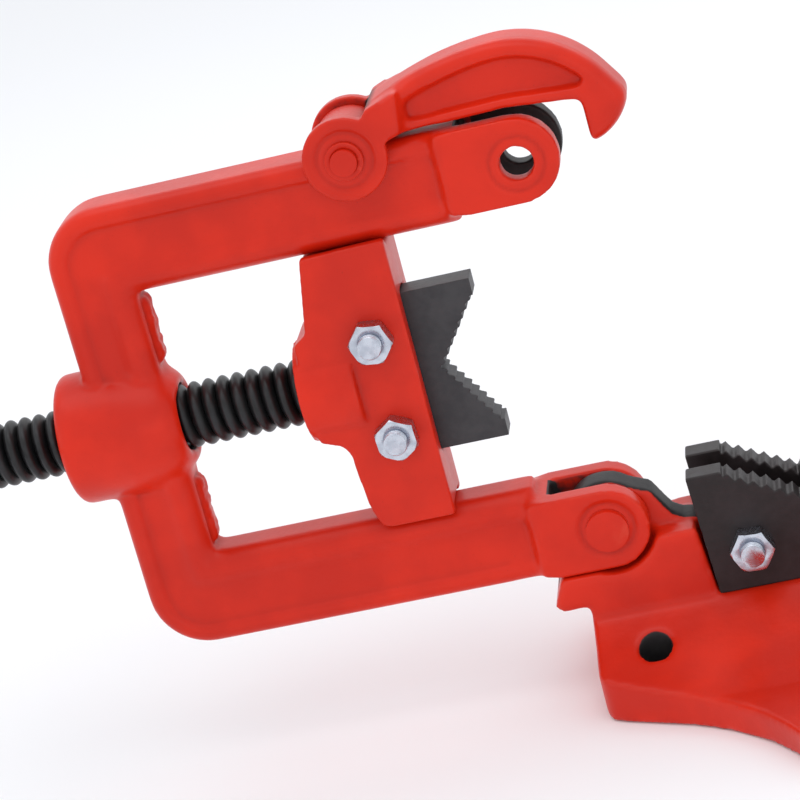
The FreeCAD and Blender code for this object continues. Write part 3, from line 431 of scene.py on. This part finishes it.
def latch_bare(place, ragged):
    """The inner faces of the ears."""
    between = 1 - (abs(place.part(1)) + ragged).band(0.0143, 0.0147)
    return between * (1 - place.part(0).band(LATCH_X + 0.0115, LATCH_X + 0.0165))


latch_skin = copy_of("latch_hook", "latch_cast")
cast_skin(latch_skin, 0.0008, 5)
fillet_more(latch_skin, lambda co: 0.0185 < co.x - LATCH_X < 0.040 and abs(co.y) > 0.009, 60)
fillet_more(latch_skin, lambda co: co.x - LATCH_X > 0.024 and 0.0065 < abs(co.y) < 0.0131, 26)
stand_for(latch_skin, "latch_hook", "latch",
          red_enamel("latch_enamel", latch_bare, 0.8))

# ---------------------------------------------------------------- jaw holder
# A cast iron crosshead that slides on the yoke's arms, with a hub for the screw's neck and a
# slot for the jaw. Red enamel all over.

holder_skin = copy_of("jaw_holder", "holder_cast")
cast_skin(holder_skin, 0.0009, 9)
stand_for(holder_skin, "jaw_holder", "jaw_carrier",
          red_enamel("holder_enamel", None, 1.1))

# ---------------------------------------------------------------- pins
# The hinge pin, with its washer, and the latch pin, with a collar riveted on at each end,
# are turned from bar, assembled before the dip and so as red as the castings.

PIN_EDGE = 0.0009


def turned_skin(piece, width, segments=3, limit=35):
    """Break the edges of a turned or cut piece that are sharper than limit, in degrees."""
    apply_modifier(piece, "BEVEL", width=width, segments=segments, limit_method="ANGLE",
                   angle_limit=math.radians(limit), use_clamp_overlap=True)
    bpy.ops.object.select_all(action="DESELECT")
    piece.select_set(True)
    bpy.context.view_layer.objects.active = piece
    bpy.ops.object.shade_smooth_by_angle(angle=math.radians(32))


pin_enamel = red_enamel("pin_enamel", None, 0.4)
for node, body, width in (("hinge_pin", "base", PIN_EDGE), ("hinge_washer", "base", 0.0004),
                          ("latch_pin", "yoke", PIN_EDGE), ("latch_collar_front", "yoke", 0.0005),
                          ("latch_collar_rear", "yoke", 0.0005),
                          ("retaining_pin_upper", "jaw_carrier", 0.0003),
                          ("retaining_pin_lower", "jaw_carrier", 0.0003)):
    pin = copy_of(node, node + "_turned")
    turned_skin(pin, width)
    stand_for(pin, node, body, pin_enamel)

# ---------------------------------------------------------------- jaws
# Forged steel plates with teeth milled across the V, hardened and left in the dark skin of
# the heat treatment. The upper one is greyer; handling has polished the points of the teeth.

JAW_VOXEL = 0.0005


def heat_black(name, dark, light, polished):
    """Dark skin with a fine ground grain, blotches and polished tooth points."""
    material, shader, place = new_material(name)
    blotch = (place.noise(55, 4) * 0.6 + place.noise(260, 3) * 0.4).band(0.35, 0.68)
    grain = place.stretched(0.25, 1, 1).noise(1500, 3)
    colour = blotch.mix(dark, light)
    point = edges_of(place, 0.53, 0.62) * place.noise(240, 3).band(0.35, 0.6)
    colour = (point * 0.75).mix(colour, polished)
    pits = place.noise(620, 2).band(0.66, 0.74)
    feed(shader, Base_Color=colour, Metallic=point * 0.5 + 0.35,
         Roughness=grain * 0.16 + blotch * 0.10 + 0.34,
         Normal=relief(grain * 0.3 + place.noise(90, 3) * 0.5 - pits * 0.5, 0.28, 0.0004))
    return material


upper_skin = copy_of("upper_jaw", "upper_jaw_forged")
cast_skin(upper_skin, JAW_VOXEL, 3)
upper_black = heat_black("upper_jaw_black", (0.030, 0.028, 0.031, 1), (0.050, 0.047, 0.050, 1),
                         (0.20, 0.19, 0.19, 1))
stand_for(upper_skin, "upper_jaw", "jaw_carrier", upper_black)
lower_black = heat_black("lower_jaw_black", (0.015, 0.010, 0.010, 1), (0.028, 0.019, 0.020, 1),
                         (0.15, 0.13, 0.13, 1))
for node in ("lower_jaw_front", "lower_jaw_rear"):
    plate = copy_of(node, node + "_forged")
    cast_skin(plate, JAW_VOXEL, 3)
    stand_for(plate, node, "base", lower_black)

# ---------------------------------------------------------------- bolts and nuts
# Four M10 bolts hold the jaws, heads to the rear and nuts in front. They are cold headed,
# with rolled threads and 45 degree chamfers on the hexagons, and bright zinc plated.

NUT_CORNER = 0.0082 / math.cos(math.radians(30))
CHAMFER = 0.00095
BOLT_PITCH = 0.0015
BOLT_RADIUS = 0.005
BOLT_THREAD = 0.0008
THREAD_HIDDEN = 0.003
OVERLAP = 0.0005


def zinc_plate():
    """Bright plate, a little blue, duller in blotches, with fine wrench marks."""
    material, shader, place = new_material("zinc_plate")
    cloud = place.noise(210, 3).band(0.35, 0.7)
    scratch = place.stretched(1, 0.15, 1).noise(2200, 2).band(0.58, 0.66)
    colour = cloud.mix((0.60, 0.63, 0.70, 1), (0.46, 0.49, 0.56, 1))
    feed(shader, Base_Color=colour, Metallic=1.0, Roughness=cloud * 0.14 + scratch * 0.12 + 0.20,
         Normal=relief(place.noise(800, 2) * 0.6 - scratch * 0.5, 0.2, 0.0001))
    return material


def threaded_rod(name, radius, deep, pitch, start, length, across, along):
    """A right-hand thread along X from start: one pitch of profile, wound round and cut square."""
    bpy.ops.object.select_all(action="DESELECT")
    bpy.ops.mesh.primitive_grid_add(x_subdivisions=along, y_subdivisions=1, size=1)
    rod = bpy.context.object
    rod.name = name
    select_near(rod, lambda co: co.y > 0)
    bpy.ops.mesh.delete(type="VERT")
    bpy.ops.object.mode_set(mode="OBJECT")
    for vertex in rod.data.vertices:
        crest = abs(math.cos(math.pi * vertex.co.x)) ** 0.75
        vertex.co = (vertex.co.x * pitch, 0, radius - deep * (1 - crest))
    apply_modifier(rod, "SCREW", axis="X", angle=2 * math.pi, screw_offset=pitch, steps=across,
                   render_steps=across, iterations=int(length / pitch) + 3, use_merge_vertices=True,
                   merge_threshold=0.00001)
    rod.location = (start[0] - pitch, start[1], start[2])
    bpy.ops.object.select_all(action="DESELECT")
    rod.select_set(True)
    bpy.ops.object.transform_apply(location=True, rotation=True, scale=True)
    for cut, way in ((start[0], -1), (start[0] + length, 1)):
        bpy.ops.object.mode_set(mode="EDIT")
        bpy.ops.mesh.select_all(action="SELECT")
        bpy.ops.mesh.bisect(plane_co=(cut, start[1], start[2]), plane_no=(way, 0, 0),
                            use_fill=True, clear_outer=True)
        bpy.ops.object.mode_set(mode="OBJECT")
    bpy.ops.object.mode_set(mode="EDIT")
    bpy.ops.mesh.select_all(action="SELECT")
    bpy.ops.mesh.remove_doubles(threshold=MERGE)
    bpy.ops.mesh.normals_make_consistent(inside=False)
    bpy.ops.object.mode_set(mode="OBJECT")
    bpy.ops.object.shade_smooth_by_angle(angle=math.radians(50))
    return rod


def chamfered(piece, low, high):
    """Cut a hexagon's corners back with a round blank between two places along Y."""
    middle = sum((Vector(corner) for corner in piece.bound_box), Vector()) / 8
    bpy.ops.object.select_all(action="DESELECT")
    bpy.ops.mesh.primitive_cylinder_add(
        vertices=96, radius=NUT_CORNER, depth=high - low,
        location=(middle.x, (low + high) / 2, middle.z), rotation=(math.pi / 2, 0, 0))
    blank = bpy.context.object
    bpy.ops.object.transform_apply(location=True, rotation=True, scale=True)
    bpy.ops.object.mode_set(mode="EDIT")
    bpy.ops.mesh.select_mode(type="FACE")
    bpy.ops.mesh.select_all(action="DESELECT")
    bpy.ops.object.mode_set(mode="OBJECT")
    for face in blank.data.polygons:
        face.select = abs(face.normal.y) > 0.9
    bpy.ops.object.mode_set(mode="EDIT")
    bpy.ops.mesh.bevel(offset_type="OFFSET", offset=CHAMFER, segments=1, affect="EDGES")
    bpy.ops.object.mode_set(mode="OBJECT")
    apply_modifier(piece, "BOOLEAN", operation="INTERSECT", solver="EXACT", object=blank)
    bpy.data.objects.remove(blank)


zinc = zinc_plate()
for pair, body in (("plate_left", "base"), ("plate_right", "base"),
                   ("holder_upper", "jaw_carrier"), ("holder_lower", "jaw_carrier")):
    low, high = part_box(pair + "_nut")
    nut = copy_of(pair + "_nut", pair + "_nut_plated")
    chamfered(nut, low[1], high[1])
    turned_skin(nut, 0.00022, 2, 20)
    stand_for(nut, pair + "_nut", body, zinc)

    centre = ((low[0] + high[0]) / 2, (low[2] + high[2]) / 2)
    near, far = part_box(pair + "_bolt")
    bolt = copy_of(pair + "_bolt", pair + "_bolt_plated")
    chamfered(bolt, near[1] - 0.002, far[1])
    bpy.ops.object.mode_set(mode="EDIT")
    bpy.ops.mesh.select_all(action="SELECT")
    bpy.ops.mesh.bisect(plane_co=(0, low[1] + THREAD_HIDDEN, 0), plane_no=(0, -1, 0),
                        use_fill=True, clear_outer=True)
    bpy.ops.object.mode_set(mode="OBJECT")
    turned_skin(bolt, 0.00025, 2, 30)
    end = threaded_rod(pair + "_end", BOLT_RADIUS, BOLT_THREAD, BOLT_PITCH, (0, 0, 0),
                       low[1] + THREAD_HIDDEN + OVERLAP - near[1], 40, 8)
    end.rotation_euler = (0, 0, math.pi / 2)
    end.location = (centre[0], near[1], centre[1])
    bpy.ops.object.transform_apply(location=True, rotation=True, scale=True)
    bpy.ops.object.select_all(action="DESELECT")
    end.select_set(True)
    bolt.select_set(True)
    bpy.context.view_layer.objects.active = bolt
    bpy.ops.object.join()
    stand_for(bolt, pair + "_bolt", body, zinc)

# ---------------------------------------------------------------- cotter
# A plain plated pin through the hinge pin's tail, behind the washer. It keeps the hinge
# pin from walking out of the ears.

cotter = copy_of("hinge_cotter", "hinge_cotter_wire")
turned_skin(cotter, 0.0006, 3)
stand_for(cotter, "hinge_cotter", "base", zinc)

# ---------------------------------------------------------------- feed screw
# One turned bar: a plain neck held in the jaw holder's hub, a coarse rounded right-hand
# thread, and a cylindrical head bored across for the handle. Blued black and kept oiled.

SCREW_RADIUS = 0.014
THREAD_DEPTH = 0.0034
THREAD_PITCH = 0.00635
THREAD_NEAR = hinge.x - 0.1128
THREAD_FAR = hinge.x - 0.2668


def blued(name, tone, grain_across):
    """Black oxide over turned steel: fine rings, an oily sheen, rubbed crests."""
    material, shader, place = new_material(name)
    cloud = place.noise(65, 3).band(0.35, 0.7)
    rubbed = edges_of(place, 0.505, 0.56) * place.noise(190, 3).band(0.38, 0.66)
    colour = cloud.mix((tone, tone, tone * 1.12, 1), (tone * 1.7, tone * 1.6, tone * 1.65, 1))
    colour = (rubbed * 0.6).mix(colour, (0.07, 0.07, 0.078, 1))
    marks = place.stretched(*grain_across).noise(900, 3)
    feed(shader, Base_Color=colour, Metallic=rubbed * 0.3 + 0.25,
         Roughness=marks * 0.16 + cloud * 0.08 + 0.26,
         Normal=relief(marks * 0.5 + place.noise(160, 3) * 0.5, 0.22, 0.00025))
    return material


thread = threaded_rod("screw_thread", SCREW_RADIUS, THREAD_DEPTH, THREAD_PITCH,
                      (THREAD_FAR, 0, AXIS_HIGH), THREAD_NEAR - THREAD_FAR, 72, 14)
ends = []
for cut, way, width in ((THREAD_FAR + OVERLAP, 1, 0.0012), (THREAD_NEAR - OVERLAP, -1, 0.0004)):
    end = copy_of("feed_screw", "screw_end")
    bpy.ops.object.mode_set(mode="EDIT")
    bpy.ops.mesh.select_all(action="SELECT")
    bpy.ops.mesh.bisect(plane_co=(cut, 0, 0), plane_no=(way, 0, 0),
                        use_fill=True, clear_outer=True)
    bpy.ops.object.mode_set(mode="OBJECT")
    turned_skin(end, width, 3)
    ends.append(end)
bpy.ops.object.select_all(action="DESELECT")
for end in ends + [thread]:
    end.select_set(True)
bpy.context.view_layer.objects.active = thread
bpy.ops.object.join()
stand_for(thread, "feed_screw", "screw", blued("screw_blued", 0.005, (6, 0.6, 0.6)))

# ---------------------------------------------------------------- handle
# A round bar that slides through the screw's head, with a knob pressed on each end so that
# it can't fall out. The same blued steel, drawn along its length.

bar_steel = blued("handle_blued", 0.014, (1, 0.12, 1))
for node, width in (("handle_bar", 0.0008), ("handle_knob_front", 0.0032),
                    ("handle_knob_rear", 0.0032)):
    grip = copy_of(node, node + "_turned")
    turned_skin(grip, width, 5)
    stand_for(grip, node, "handle", bar_steel)
